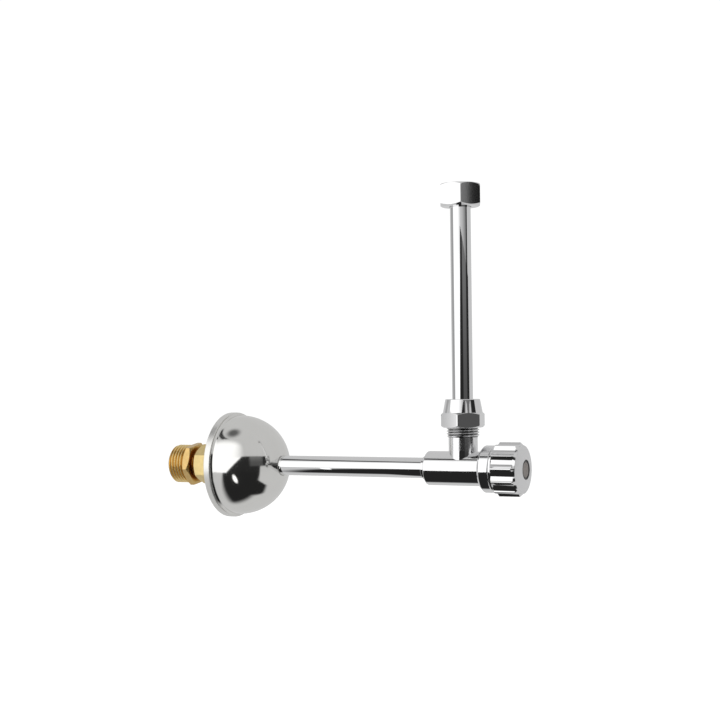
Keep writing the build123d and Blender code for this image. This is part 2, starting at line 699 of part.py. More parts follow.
def spindle_seal(at):
    return ring_seal(THRUST_X + at, SPINDLE_BORE_R, SPINDLE_SEAL_SECTION_R)


def write(shape, node):
    export_step(shape, "parts/" + node + ".step")


write(inlet_adaptor(), "inlet_adaptor")
write(olive(SPIGOT_END_X), "inlet_olive")
write(inlet_nut(), "inlet_nut")
write(supply_tube(), "supply_tube")
write(wall_flange(), "wall_flange")
write(valve_body(), "valve_body")
write(headwork(), "headwork")
write(ring_seal(HEADWORK_SEAL_X, CHAMBER_R, HEADWORK_SEAL_SECTION_R), "headwork_seal")
write(spindle(), "spindle")
write(spindle_seal(SPINDLE_SEAL_INNER_AT), "spindle_seal_inner")
write(spindle_seal(SPINDLE_SEAL_OUTER_AT), "spindle_seal_outer")
write(spindle_clip(), "spindle_clip")
write(valve_plunger(), "valve_plunger")
write(tap_washer(), "tap_washer")
write(washer_screw(), "washer_screw")
write(knob(), "knob")
write(knob_screw(), "knob_screw")
write(knob_cap(), "knob_cap")
write(outlet_nut(), "outlet_nut")
write(upright(olive(OUTLET_MOUTH_Z)), "outlet_olive")
write(riser_tube(), "riser_tube")
write(union_ring(), "union_ring")
write(union_nut(), "union_nut")
write(union_washer(), "union_washer")
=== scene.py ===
import bmesh
import bpy
import math
from mathutils import Matrix, Vector


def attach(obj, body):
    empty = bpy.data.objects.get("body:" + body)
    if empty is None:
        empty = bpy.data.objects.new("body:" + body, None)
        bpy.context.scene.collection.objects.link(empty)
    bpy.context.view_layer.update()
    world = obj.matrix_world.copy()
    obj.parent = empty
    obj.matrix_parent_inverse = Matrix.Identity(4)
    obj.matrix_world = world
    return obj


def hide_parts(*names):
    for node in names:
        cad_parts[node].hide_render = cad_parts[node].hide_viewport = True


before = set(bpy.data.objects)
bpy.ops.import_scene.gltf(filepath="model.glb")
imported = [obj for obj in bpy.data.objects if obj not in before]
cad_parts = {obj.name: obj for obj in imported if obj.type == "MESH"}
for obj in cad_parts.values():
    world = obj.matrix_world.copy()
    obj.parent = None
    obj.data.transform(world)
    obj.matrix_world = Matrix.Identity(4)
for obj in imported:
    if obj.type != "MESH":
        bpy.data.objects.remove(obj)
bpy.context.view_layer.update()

# Scene sizes are in metres, outlines in millimetres and angles in degrees. Standing shapes are
# turned about X first, then stood on the riser's axis.

MM = 0.001
FULL_TURN = 360.0
RISER_X = 0.163
STAND = Matrix(((0, 0, -1, RISER_X), (0, 1, 0, 0), (1, 0, 0, 0), (0, 0, 0, 1)))


# Inlet adaptor: one brass turning that screws into the wall fitting. A coarse pipe thread
# on the left, a thin hexagon for the spanner, then a smaller threaded spigot that the
# compression nut closes on.

def eased(corners, steps=5):
    """Rounds each (x, r, radius) corner of a closed outline, with a lead-in at both ends."""
    lead = 1.12
    points = []
    count = len(corners)
    for index, corner in enumerate(corners):
        here = Vector(corner[:2])
        size = corner[2] if len(corner) > 2 else 0.0
        back = Vector(corners[index - 1][:2]) - here
        ahead = Vector(corners[(index + 1) % count][:2]) - here
        if size == 0.0:
            points.append(here)
            continue
        half = back.angle(ahead) / 2
        reach = min(size / math.tan(half), 0.42 * back.length, 0.42 * ahead.length)
        back.normalize()
        ahead.normalize()
        points.append(here + back * reach * lead)
        for step in range(steps + 1):
            t = step / steps
            points.append(here + back * reach * (1 - t) ** 2 + ahead * reach * t ** 2)
        points.append(here + ahead * reach * lead)
    return [(p.x, p.y) for p in points]


def turned(outline, columns=192, start=0.0):
    """A closed mesh turned about X from an (x, r) outline in millimetres."""
    bm = bmesh.new()
    rings = []
    for x, r in outline:
        ring = []
        for column in range(columns):
            a = math.radians(start) + 2 * math.pi * column / columns
            ring.append(bm.verts.new((x * MM, r * math.cos(a) * MM, r * math.sin(a) * MM)))
        rings.append(ring)
    for row, ring in enumerate(rings):
        after = rings[(row + 1) % len(rings)]
        for column in range(columns):
            beside = (column + 1) % columns
            bm.faces.new((ring[column], ring[beside], after[beside], after[column]))
    return bm


def closed_mesh(bm, name, sharp=35.0):
    """Welds a turned shape, points its faces outwards and smooths all but its sharp edges."""
    bmesh.ops.remove_doubles(bm, verts=bm.verts, dist=2e-7)
    bmesh.ops.dissolve_degenerate(bm, edges=bm.edges, dist=1e-8)
    bmesh.ops.recalc_face_normals(bm, faces=bm.faces)
    mesh = bpy.data.meshes.new(name)
    bm.to_mesh(mesh)
    bm.free()
    mesh.shade_smooth()
    mesh.set_sharp_from_angle(angle=math.radians(sharp))
    return mesh


def as_object(mesh, name):
    """Puts a mesh into the scene as an object of its own."""
    made = bpy.data.objects.new(name, mesh)
    bpy.context.scene.collection.objects.link(made)
    return made


def piece_of(name, meshes, material, body, slot, *nodes, upright=False):
    """Joins meshes into one finished piece that rides a body and stands for CAD nodes."""
    bm = bmesh.new()
    for mesh in meshes:
        bm.from_mesh(mesh)
    if upright:
        bm.transform(STAND)
    mesh = bpy.data.meshes.new(name)
    bm.to_mesh(mesh)
    bm.free()
    mesh.materials.clear()
    mesh.materials.append(material)
    made = as_object(mesh, name)
    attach(made, body)
    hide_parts(*nodes)
    return made


class Tree:
    """Short hand for building one node tree."""

    def __init__(self, tree):
        self.tree = tree

    def add(self, kind, **values):
        node = self.tree.nodes.new(kind)
        for key, value in values.items():
            setattr(node, key, value)
        return node

    def join(self, source, target):
        self.tree.links.new(source, target)

    def math(self, operation, *terms):
        node = self.add("ShaderNodeMath", operation=operation)
        for socket, term in zip(node.inputs, terms):
            if isinstance(term, (int, float)):
                socket.default_value = term
            else:
                self.join(term, socket)
        return node.outputs[0]

    def plus(self, a, b):
        return self.math("ADD", a, b)

    def minus(self, a, b):
        return self.math("SUBTRACT", a, b)

    def times(self, a, b):
        return self.math("MULTIPLY", a, b)

    def over(self, a, b):
        return self.math("DIVIDE", a, b)

    def larger(self, a, b):
        return self.math("MAXIMUM", a, b)

    def smaller(self, a, b):
        return self.math("MINIMUM", a, b)

    def length(self, a, b):
        return self.math("SQRT", self.plus(self.times(a, a), self.times(b, b)))

    def bearing(self, a, b):
        return self.math("DEGREES", self.math("ARCTAN2", a, b))

    def ramp(self, value, low, high, out_low=0.0, out_high=1.0):
        """Eases from one output to the other between two values."""
        node = self.add("ShaderNodeMapRange", interpolation_type="SMOOTHSTEP")
        self.join(value, node.inputs["Value"])
        node.inputs["From Min"].default_value = low
        node.inputs["From Max"].default_value = high
        node.inputs["To Min"].default_value = out_low
        node.inputs["To Max"].default_value = out_high
        return node.outputs["Result"]

    def within(self, value, low, high, soft):
        """One between two values, nothing outside them, with soft ends."""
        rise = self.ramp(value, low - soft, low + soft)
        fall = self.ramp(value, high - soft, high + soft, 1.0, 0.0)
        return self.times(rise, fall)

    def split(self, vector):
        parts = self.add("ShaderNodeSeparateXYZ")
        self.join(vector, parts.inputs[0])
        return parts.outputs

    def place(self, kind="Object"):
        return self.split(self.add("ShaderNodeTexCoord").outputs[kind])

    def distance(self, kind, point):
        apart = self.add("ShaderNodeVectorMath", operation="DISTANCE")
        self.join(self.add("ShaderNodeTexCoord").outputs[kind], apart.inputs[0])
        apart.inputs[1].default_value = point
        return apart.outputs["Value"]

    def scaled(self, colour, amount):
        shade = self.add("ShaderNodeVectorMath", operation="SCALE")
        self.join(colour, shade.inputs[0])
        self.join(amount, shade.inputs["Scale"])
        return shade.outputs[0]

    def glow(self, strength):
        lit = self.add("ShaderNodeEmission")
        self.join(strength, lit.inputs["Strength"])
        return lit.outputs[0]


def geometry_tree(name, *labels):
    """An empty geometry tree: geometry in, named numbers, a material, geometry out."""
    tree = bpy.data.node_groups.new(name, "GeometryNodeTree")
    tree.interface.new_socket("Geometry", in_out="INPUT", socket_type="NodeSocketGeometry")
    for label in labels:
        tree.interface.new_socket(label, in_out="INPUT", socket_type="NodeSocketFloat")
    tree.interface.new_socket("Material", in_out="INPUT", socket_type="NodeSocketMaterial")
    tree.interface.new_socket("Geometry", in_out="OUTPUT", socket_type="NodeSocketGeometry")
    build = Tree(tree)
    return build, build.add("NodeGroupInput"), build.add("NodeGroupOutput")


def finish_tree(build, geometry, places, given, leave, chosen=None):
    """Moves points to new places, then realises instances and sets their material."""
    put = build.add("ShaderNodeCombineXYZ")
    for value, socket in zip(places, put.inputs):
        build.join(value, socket)
    move = build.add("GeometryNodeSetPosition")
    build.join(geometry, move.inputs["Geometry"])
    if chosen is not None:
        build.join(chosen, move.inputs["Selection"])
    build.join(put.outputs[0], move.inputs["Position"])
    real = build.add("GeometryNodeRealizeInstances")
    paint = build.add("GeometryNodeSetMaterial")
    build.join(move.outputs[0], real.inputs[0])
    build.join(real.outputs[0], paint.inputs["Geometry"])
    build.join(given.outputs["Material"], paint.inputs["Material"])
    build.join(paint.outputs[0], leave.inputs[0])
    return build.tree


def grown(tree, mesh, material, values, name):
    """Runs a geometry tree on a mesh and returns the plain result."""
    carrier = as_object(mesh, name + "_carrier")
    modifier = carrier.modifiers.new("shape", "NODES")
    modifier.node_group = tree
    for item in tree.interface.items_tree:
        if item.in_out != "INPUT":
            continue
        if item.name in values:
            modifier[item.identifier] = float(values[item.name])
        if item.name == "Material":
            modifier[item.identifier] = material
    evaluated = carrier.evaluated_get(bpy.context.evaluated_depsgraph_get())
    result = bpy.data.meshes.new_from_object(evaluated)
    carrier.modifiers.remove(modifier)
    bpy.data.objects.remove(carrier)
    bm = bmesh.new()
    bm.from_mesh(result)
    return bm


def thread_tree():
    """A screw thread as a sheared grid: rows follow the helix, end rows close on the wall."""
    build, given, leave = geometry_tree(
        "pipe_thread", "Start", "End", "Crest radius", "Root radius", "Pitch", "Wall radius",
        "Start radius", "End radius", "Rows per turn", "Columns",
    )
    size = given.outputs
    length = build.minus(size["End"], size["Start"])
    turns = build.plus(build.over(length, size["Pitch"]), 1.0)
    threads = build.math("CEIL", build.times(turns, size["Rows per turn"]))
    rows = build.plus(threads, 4.0)
    grid = build.add("GeometryNodeMeshGrid")
    build.join(rows, grid.inputs["Vertices X"])
    build.join(build.plus(size["Columns"], 1.0), grid.inputs["Vertices Y"])
    place = build.split(build.add("GeometryNodeInputPosition").outputs[0])
    last = build.minus(rows, 1.0)
    row = build.math("ROUND", build.times(build.plus(place[0], 0.5), last))
    share = build.plus(place[1], 0.5)
    step = build.over(size["Pitch"], size["Rows per turn"])
    along = build.times(build.minus(row, 1.0), step)
    along = build.minus(build.plus(along, size["Start"]), size["Pitch"])
    helix = build.plus(along, build.times(share, size["Pitch"]))
    x = build.larger(build.smaller(helix, size["End"]), size["Start"])
    # Row 0 lies on the wall at the start, the last two at the end and back at the start.
    first_row = build.math("LESS_THAN", row, 0.5)
    end_row = build.math("GREATER_THAN", row, build.minus(last, 1.5))
    close_row = build.math("GREATER_THAN", row, build.minus(last, 0.5))
    phase = build.over(build.minus(x, size["Start"]), size["Pitch"])
    phase = build.math("FRACT", build.plus(build.minus(phase, share), 8.0))
    wave = build.math("ABSOLUTE", build.minus(build.times(phase, 2.0), 1.0))
    wave = build.ramp(wave, 0.1, 0.9)
    depth = build.minus(size["Crest radius"], size["Root radius"])
    radius = build.plus(size["Root radius"], build.times(wave, depth))
    # An outer thread is chamfered down to its end radii, an inner one opened up to them.
    near_start = build.plus(size["Start radius"], build.minus(x, size["Start"]))
    near_end = build.plus(size["End radius"], build.minus(size["End"], x))
    inward = build.math("LESS_THAN", size["Wall radius"], size["Root radius"])
    capped = build.smaller(radius, build.smaller(near_start, near_end))
    flare_start = build.minus(size["Start radius"], build.minus(x, size["Start"]))
    flare_end = build.minus(size["End radius"], build.minus(size["End"], x))
    flared = build.larger(radius, build.larger(flare_start, flare_end))
    outside = build.times(capped, inward)
    inside = build.times(flared, build.minus(1.0, inward))
    radius = build.plus(outside, inside)
    wall = build.larger(first_row, end_row)
    radius = build.times(radius, build.minus(1.0, wall))
    radius = build.plus(radius, build.times(size["Wall radius"], wall))
    at_start = build.larger(first_row, close_row)
    at_end = build.minus(end_row, close_row)
    free = build.minus(build.minus(1.0, at_start), at_end)
    x = build.times(x, free)
    x = build.plus(x, build.times(at_start, size["Start"]))
    x = build.plus(x, build.times(at_end, size["End"]))
    angle = build.times(share, 2 * math.pi)
    y = build.times(radius, build.math("COSINE", angle))
    z = build.times(radius, build.math("SINE", angle))
    places = [build.times(value, MM) for value in (x, y, z)]
    return finish_tree(build, grid.outputs["Mesh"], places, given, leave)


def about_axis(build, turn):
    """Where a point lies round the X axis: its position, millimetres out, and degrees."""
    x, y, z = build.split(build.add("GeometryNodeInputPosition").outputs[0])
    radius = build.over(build.length(y, z), MM)
    angle = build.minus(build.bearing(z, y), turn)
    return x, y, z, radius, build.plus(angle, 2 * FULL_TURN)


def pulled_in(build, x, y, z, radius, cut):
    """The same point moved towards the axis until it is a cut radius out."""
    scale = build.over(cut, build.larger(radius, 0.01))
    return x, build.times(y, scale), build.times(z, scale)


def hexagon_tree():
    """Cuts six flats into a turned shape, with a small round left on every edge."""
    build, given, leave = geometry_tree(
        "spanner_flats", "Across flats", "Turn", "From", "To", "Edge"
    )
    size = given.outputs
    x, y, z, radius, angle = about_axis(build, size["Turn"])
    along = build.over(x, MM)
    side_angle = FULL_TURN / 6
    off = build.minus(build.math("MODULO", angle, side_angle), side_angle / 2)
    off = build.math("ABSOLUTE", off)
    half = build.over(size["Across flats"], 2.0)
    near = build.over(half, build.math("COSINE", build.math("RADIANS", off)))
    far = build.minus(side_angle, off)
    beside = build.over(half, build.math("COSINE", build.math("RADIANS", far)))
    flat = build.math("SMOOTH_MIN", near, beside, size["Edge"])
    cut = build.math("SMOOTH_MIN", radius, flat, size["Edge"])
    places = pulled_in(build, x, y, z, radius, cut)
    slack = 0.001
    after = build.math("GREATER_THAN", along, build.minus(size["From"], slack))
    before = build.math("LESS_THAN", along, build.plus(size["To"], slack))
    chosen = build.times(after, before)
    return finish_tree(build, given.outputs["Geometry"], places, given, leave, chosen)


def wear_group():
    """Handling marks shared by all finishes: a slow tone change and fine unevenness."""
    tree = bpy.data.node_groups.new("handling_marks", "ShaderNodeTree")
    for label in ("Scale", "Tone depth", "Roughness", "Spread"):
        tree.interface.new_socket(label, in_out="INPUT", socket_type="NodeSocketFloat")
    tree.interface.new_socket("Base", in_out="INPUT", socket_type="NodeSocketColor")
    tree.interface.new_socket("Color", in_out="OUTPUT", socket_type="NodeSocketColor")
    tree.interface.new_socket("Roughness", in_out="OUTPUT", socket_type="NodeSocketFloat")
    tree.interface.new_socket("Height", in_out="OUTPUT", socket_type="NodeSocketFloat")
    build = Tree(tree)
    given = build.add("NodeGroupInput")
    leave = build.add("NodeGroupOutput")
    place = build.add("ShaderNodeTexCoord").outputs["Object"]
    cloud = build.add("ShaderNodeTexNoise")
    build.join(place, cloud.inputs["Vector"])
    build.join(given.outputs["Scale"], cloud.inputs["Scale"])
    fine = build.add("ShaderNodeTexNoise")
    fine.inputs["Detail"].default_value = 5.0
    build.join(place, fine.inputs["Vector"])
    build.join(build.times(given.outputs["Scale"], 9.0), fine.inputs["Scale"])
    swing = build.minus(cloud.outputs[0], 0.5)
    tone = build.math("MULTIPLY_ADD", swing, given.outputs["Tone depth"], 1.0)
    build.join(build.scaled(given.outputs["Base"], tone), leave.inputs["Color"])
    rough = build.minus(fine.outputs[0], 0.5)
    rough = build.times(rough, given.outputs["Spread"])
    build.join(build.plus(rough, given.outputs["Roughness"]), leave.inputs["Roughness"])
    build.join(fine.outputs[0], leave.inputs["Height"])
    return tree


WEAR = wear_group()


def finish_of(name, base, roughness, spread, tone, scale, bump, metallic=1.0):
    """A surface finish: the shared handling marks over one shader."""
    material = bpy.data.materials.new(name)
    material.use_nodes = True
    build = Tree(material.node_tree)
    shader = material.node_tree.nodes["Principled BSDF"]
    shader.inputs["Metallic"].default_value = metallic
    shader.inputs["IOR"].default_value = 1.5
    marks = build.add("ShaderNodeGroup", node_tree=WEAR)
    marks.inputs["Base"].default_value = (*base, 1.0)
    marks.inputs["Scale"].default_value = scale
    marks.inputs["Tone depth"].default_value = tone
    marks.inputs["Roughness"].default_value = roughness
    marks.inputs["Spread"].default_value = spread
    build.join(marks.outputs["Color"], shader.inputs["Base Color"])
    build.join(marks.outputs["Roughness"], shader.inputs["Roughness"])
    relief = build.add("ShaderNodeBump")
    relief.inputs["Strength"].default_value = bump
    relief.inputs["Distance"].default_value = 0.00002
    build.join(marks.outputs["Height"], relief.inputs["Height"])
    build.join(relief.outputs["Normal"], shader.inputs["Normal"])
    return material


def opened(material):
    """What a finish gives to a mask: its tree, marks, shader sockets and object places."""
    build = Tree(material.node_tree)
    nodes = material.node_tree.nodes
    marks = next(node for node in nodes if node.type == "GROUP")
    return build, marks.outputs, nodes["Principled BSDF"].inputs, build.place()


def adaptor_brass():
    """Yellow brass; painted shade browns the thread valleys and the spigot behind the hexagon."""
    material = finish_of("adaptor_brass", (0.86, 0.66, 0.31), 0.24, 0.14, 0.4, 420.0, 0.25)
    build, marks, shader, place = opened(material)
    off = build.length(place[1], place[2])
    # Painted shade: the thread valleys and the spigot by the nut are browned; the hexagon is made a
    # little darker.
    valley_shade = build.ramp(off, 0.0094, 0.0101, 0.85, 0.0)
    hexagon = build.within(place[0], -0.0001, 0.0040, 0.0001)
    spigot = build.ramp(place[0], 0.0039, 0.0041, 0.0, 0.8)
    painted_shade_and_darker_hex = build.larger(valley_shade, build.times(hexagon, 0.45))
    painted_shade_and_darker_hex = build.larger(painted_shade_and_darker_hex, spigot)
    shade = build.add("ShaderNodeCombineXYZ")
    for channel, deep in enumerate((0.50, 0.68, 0.90)):
        build.join(build.math("MULTIPLY_ADD", painted_shade_and_darker_hex, -deep, 1.0), shade.inputs[channel])
    tint = build.add("ShaderNodeVectorMath", operation="MULTIPLY")
    build.join(marks["Color"], tint.inputs[0])
    build.join(shade.outputs[0], tint.inputs[1])
    build.join(tint.outputs[0], shader["Base Color"])
    return material


THREAD = thread_tree()
FLATS = hexagon_tree()
ADAPTOR_BRASS = adaptor_brass()

# Pipe thread sizes, the first in the wall fitting and the second at the compression nuts.
G_HALF = {"crest_radius": 10.4775, "root_radius": 9.32, "pitch": 1.814}
G_THREE_EIGHTHS = {"crest_radius": 8.331, "root_radius": 7.48, "pitch": 1.337}


def thread_mesh(material, name, **sizes):
    """One threaded length; the keys name the tree's inputs."""
    values = {"Rows per turn": 16, "Columns": 96}
    values.update({key.replace("_", " ").capitalize(): value for key, value in sizes.items()})
    bm = grown(THREAD, bpy.data.meshes.new(name), material, values, name)
    return closed_mesh(bm, name, 60.0)


def hexagon_mesh(outline, across_flats, turn, first, last, material, name, edge=0.18):
    """A turned outline with six flats cut between two places along its axis."""
    blank = closed_mesh(turned(outline, 240, turn), name + "_blank")
    values = {"Across flats": across_flats, "Turn": turn, "From": first, "To": last, "Edge": edge}
    return closed_mesh(grown(FLATS, blank, material, values, name), name, 28.0)


def steps_between(start, end, count):
    """Evenly spaced outline points from one (x, r) to another, the last left out."""
    return [
        (start[0] + (end[0] - start[0]) * i / count, start[1] + (end[1] - start[1]) * i / count)
        for i in range(count)
    ]


wall_thread = thread_mesh(
    ADAPTOR_BRASS, "wall_thread", start=-10.0, end=0.0, wall_radius=6.5, start_radius=9.25,
    end_radius=9.6, **G_HALF,
)
spigot_thread = thread_mesh(
    ADAPTOR_BRASS, "spigot_thread", start=4.2, end=14.5, wall_radius=6.48, start_radius=7.6,
    end_radius=7.6, **G_THREE_EIGHTHS,
)
CORNER_R, FACE_EDGE_R = 12.124, 10.55
hex_outline = (
    [(0.0, 8.0), (0.0, 9.0)]
    + steps_between((0.0, FACE_EDGE_R), (0.91, CORNER_R), 14)
    + steps_between((0.91, CORNER_R), (3.09, CORNER_R), 6)
    + steps_between((3.09, CORNER_R), (4.0, FACE_EDGE_R), 14)
    + [(4.0, FACE_EDGE_R), (4.0, 8.6), (4.0, 7.45), (4.15, 7.3), (5.62, 7.3), (5.62, 6.0), (0.0, 6.0)]
)
adaptor_hexagon = hexagon_mesh(hex_outline, 21.0, 11.7, 0.0, 4.0, ADAPTOR_BRASS, "adaptor_hexagon")
adaptor_core = closed_mesh(
    turned([(-1.0, 4.2), (-1.0, 7.0), (6.0, 7.0), (6.0, 4.2)], 96), "adaptor_core"
)
piece_of(
    "inlet_adaptor_turned", [wall_thread, adaptor_hexagon, adaptor_core, spigot_thread],
    ADAPTOR_BRASS, "tap", "inlet_brass", "inlet_adaptor",
)


# Inlet compression nut: hexagonal brass bar, bored and threaded inside, with a deep turned
# chamfer on the side of the wall. It squeezes the olive onto the supply tube.

INLET_NUT_BRASS = finish_of("nut_brass", (0.78, 0.61, 0.28), 0.34, 0.14, 0.3, 380.0, 0.3)
NUT_BORE_R, OLIVE_R, NUT_THREAD_R = 5.37, 6.42, 8.36
nut_outline = (
    [(6.2, NUT_THREAD_R), (6.2, 8.5)]
    + steps_between((6.2, 8.7), (7.51, 10.97), 22)
    + steps_between((7.51, 10.97), (18.9, 10.97), 12)
    + steps_between((18.9, 10.97), (19.81, 9.4), 14)
    + [(19.81, 9.4), (19.81, 8.0), (19.81, 5.5), (19.69, NUT_BORE_R), (18.21, NUT_BORE_R)]
    + [(16.4, OLIVE_R), (16.4, NUT_THREAD_R)]
)
piece_of(
    "inlet_nut_turned",
    [hexagon_mesh(nut_outline, 19.0, 31.7, 6.2, 19.812, INLET_NUT_BRASS, "inlet_nut_shape")],
    INLET_NUT_BRASS, "tap", "inlet_brass", "inlet_nut",
)


# Supply tube: thin chromed brass tube, pushed into the adaptor at one end and into the
# tap body at the other.

TUBE_CHROME = finish_of("tube_chrome", (0.83, 0.83, 0.835), 0.035, 0.02, 0.02, 120.0, 0.02)
TUBE_R, TUBE_BORE_R = 5.25, 4.35
supply_outline = eased([
    (6.3, TUBE_BORE_R), (6.3, TUBE_R, 0.15), (151.7, TUBE_R, 0.15), (151.7, TUBE_BORE_R),
])
piece_of(
    "supply_tube_chromed", [closed_mesh(turned(supply_outline, 128), "supply_tube_shape")],
    TUBE_CHROME, "tap", "chromed_tube", "supply_tube",
)


# Wall flange: a dome pressed from bright sheet, loose on the supply tube, with a flat outer
# band and a cove rolled behind it.

def flange_sheet():
    """Bright pressed sheet, left more satin on the rolled rim than on the dome."""
    material = finish_of("flange_sheet", (0.80, 0.795, 0.775), 0.10, 0.04, 0.07, 90.0, 0.06)
    build, marks, shader, place = opened(material)
    rim = build.ramp(place[0], 0.0287, 0.0293, 0.20, 0.0)
    build.join(build.plus(marks["Roughness"], rim), shader["Roughness"])
    return material


FLANGE_SHEET = flange_sheet()
FLANGE_X, DOME_X, DOME_R, INNER_R = 25.4, 31.4, 26.8, 26.0
HOLE_R, MOUTH_R = 5.7, 25.7


def arc_of(radius, start, end, count):
    """Outline points on an arc about the dome's centre, both ends kept."""
    angles = [start + (end - start) * step / count for step in range(count + 1)]
    return [(DOME_X + radius * math.cos(a), radius * math.sin(a)) for a in angles]


dome_outline = arc_of(DOME_R, math.pi - math.acos(0.6 / DOME_R), math.asin(HOLE_R / DOME_R), 90)
inner_outline = arc_of(INNER_R, math.asin(HOLE_R / INNER_R), math.asin(MOUTH_R / INNER_R), 60)
rim_outline = eased([
    (FLANGE_X, 27.6), (FLANGE_X, 28.4, 0.6), (FLANGE_X + 3.6, 28.4, 0.7),
    (FLANGE_X + 3.6, 27.3, 0.35), (FLANGE_X + 4.5, 26.6, 0.4), (FLANGE_X + 5.35, 26.5),
])
back_outline = [(30.1, MOUTH_R), (29.9, MOUTH_R), (28.2, 27.6)]
flange_outline = rim_outline + dome_outline + inner_outline + back_outline
piece_of(
    "wall_flange_pressed", [closed_mesh(turned(flange_outline, 256), "wall_flange_shape", 40.0)],
    FLANGE_SHEET, "flange", "flange_metal", "wall_flange",
)


# Tap body: one chromed brass casting. A lip the tube runs into, a barrel, a coned head for
# the headwork, and an outlet neck with a pipe thread at its top.

def body_chrome():
    """Cast and polished chrome, softer on the neck, painted shade darkening its thread valleys."""
    material = finish_of("body_chrome", (0.82, 0.82, 0.825), 0.07, 0.025, 0.04, 150.0, 0.06)
    build, marks, shader, place = opened(material)
    off = build.length(build.minus(place[0], RISER_X), place[1])
    # Painted shade: the thread valleys are darkened in the base colour.
    threaded = build.ramp(place[2], 0.0157, 0.0160)
    valley_shade = build.times(threaded, build.ramp(off, 0.0075, 0.0080, 0.7, 0.0))
    build.join(build.scaled(marks["Color"], build.minus(1.0, valley_shade)), shader["Base Color"])
    neck = build.within(place[2], 0.0092, 0.0156, 0.0003)
    rough = build.plus(marks["Roughness"], build.times(neck, 0.10))
    build.join(rough, shader["Roughness"])
    return material


BODY_CHROME = body_chrome()
barrel_outline = eased([
    (141.4, 5.3), (141.4, 5.85, 0.2), (144.0, 5.85, 0.1), (144.0, 8.7, 0.55), (174.4, 8.7, 0.15),
    (174.4, 10.6, 0.2), (175.65, 11.85, 0.3), (180.6, 11.85, 0.4), (180.6, 9.6, 0.1),
    (178.3, 9.6), (178.3, 8.1), (174.6, 8.1), (174.6, 6.5), (156.5, 6.5), (156.5, 4.2),
    (152.0, 4.2), (152.0, 5.3),
])
barrel = as_object(closed_mesh(turned(barrel_outline, 256), "barrel"), "barrel")
neck_outline = eased([(3.0, 0.0), (16.1, 0.0), (16.1, 7.35, 0.2), (3.0, 7.35)])
bore_outline = [(0.0, 0.0), (17.0, 0.0), (17.0, 4.0), (0.0, 4.0)]
chamber_outline = [(156.5, 0.0), (174.7, 0.0), (174.7, 6.5), (156.5, 6.5)]


def standing(bm):
    """Stands a shape turned about X on the riser's axis."""
    bm.transform(STAND)
    return bm


neck = as_object(closed_mesh(standing(turned(neck_outline, 192)), "neck"), "neck")
chamber = as_object(closed_mesh(turned(chamber_outline, 192), "chamber"), "chamber")
neck_bore = as_object(closed_mesh(standing(turned(bore_outline, 96)), "neck_bore"), "neck_bore")


def carved(base, steps):
    """Joins or cuts other shapes with a base shape, and removes them."""
    for operation, tool in steps:
        modifier = base.modifiers.new("carve", "BOOLEAN")
        modifier.operation = operation
        modifier.solver = "EXACT"
        modifier.object = tool
        evaluated = base.evaluated_get(bpy.context.evaluated_depsgraph_get())
        mesh = bpy.data.meshes.new_from_object(evaluated)
        base.modifiers.remove(modifier)
        base.data = mesh
        bpy.data.objects.remove(tool)
    mesh = base.data
    bpy.data.objects.remove(base)
    mesh.shade_smooth()
    mesh.set_sharp_from_angle(angle=math.radians(30.0))
    return mesh


body_mesh = carved(barrel, [("UNION", neck), ("DIFFERENCE", chamber), ("DIFFERENCE", neck_bore)])
neck_thread = thread_mesh(
    BODY_CHROME, "neck_thread", start=15.9, end=29.8, wall_radius=5.3, start_radius=7.5,
    end_radius=7.6, **G_THREE_EIGHTHS,
)
neck_thread.transform(STAND)
piece_of(
    "valve_body_cast", [body_mesh, neck_thread], BODY_CHROME, "tap", "chromed_casting", "valve_body",
)


# Outlet nut: chromed compression nut, hexagonal below and tapered above, closing on the
# olive at the foot of the riser.

NUT_CORNER_R = 11.547
NUT_CHROME = finish_of("nut_chrome", (0.82, 0.82, 0.825), 0.035, 0.02, 0.03, 200.0, 0.03)
outlet_outline = (
    [(20.8, NUT_THREAD_R), (20.8, 8.9)]
    + steps_between((20.8, 9.9), (21.75, NUT_CORNER_R), 16)
    + steps_between((21.75, NUT_CORNER_R), (27.436, NUT_CORNER_R), 8)
    + steps_between((27.436, NUT_CORNER_R), (28.3, 10.05), 16)
    + eased([(28.3, 10.05), (35.11, 8.75, 0.35), (35.11, NUT_BORE_R)])
    + [(33.51, NUT_BORE_R), (31.7, OLIVE_R), (31.7, NUT_THREAD_R)]
)
piece_of(
    "outlet_nut_chromed",
    [hexagon_mesh(outlet_outline, 20.0, 9.5, 20.8, 28.3, NUT_CHROME, "outlet_nut_shape")],
    NUT_CHROME, "tap", "chromed_nut", "outlet_nut", upright=True,
)


# Riser: the same chromed tube, standing in the outlet neck, with a bead formed round its
# top end for the union nut to pull on.

riser_outline = eased([
    (18.3, TUBE_BORE_R), (18.3, TUBE_R, 0.15), (135.6, TUBE_R, 0.3), (135.6, 7.0, 0.2),
    (137.0, 7.0, 0.3), (137.0, TUBE_BORE_R, 0.1),
])
piece_of(
    "riser_tube_chromed", [closed_mesh(turned(riser_outline, 128), "riser_tube_shape")],
    TUBE_CHROME, "tap", "chromed_tube", "riser_tube", upright=True,
)


# Union nut: loose chromed nut at the top of the riser, threaded inside for the cistern's
# tail, its thin floor bearing on the ring under the riser's bead.

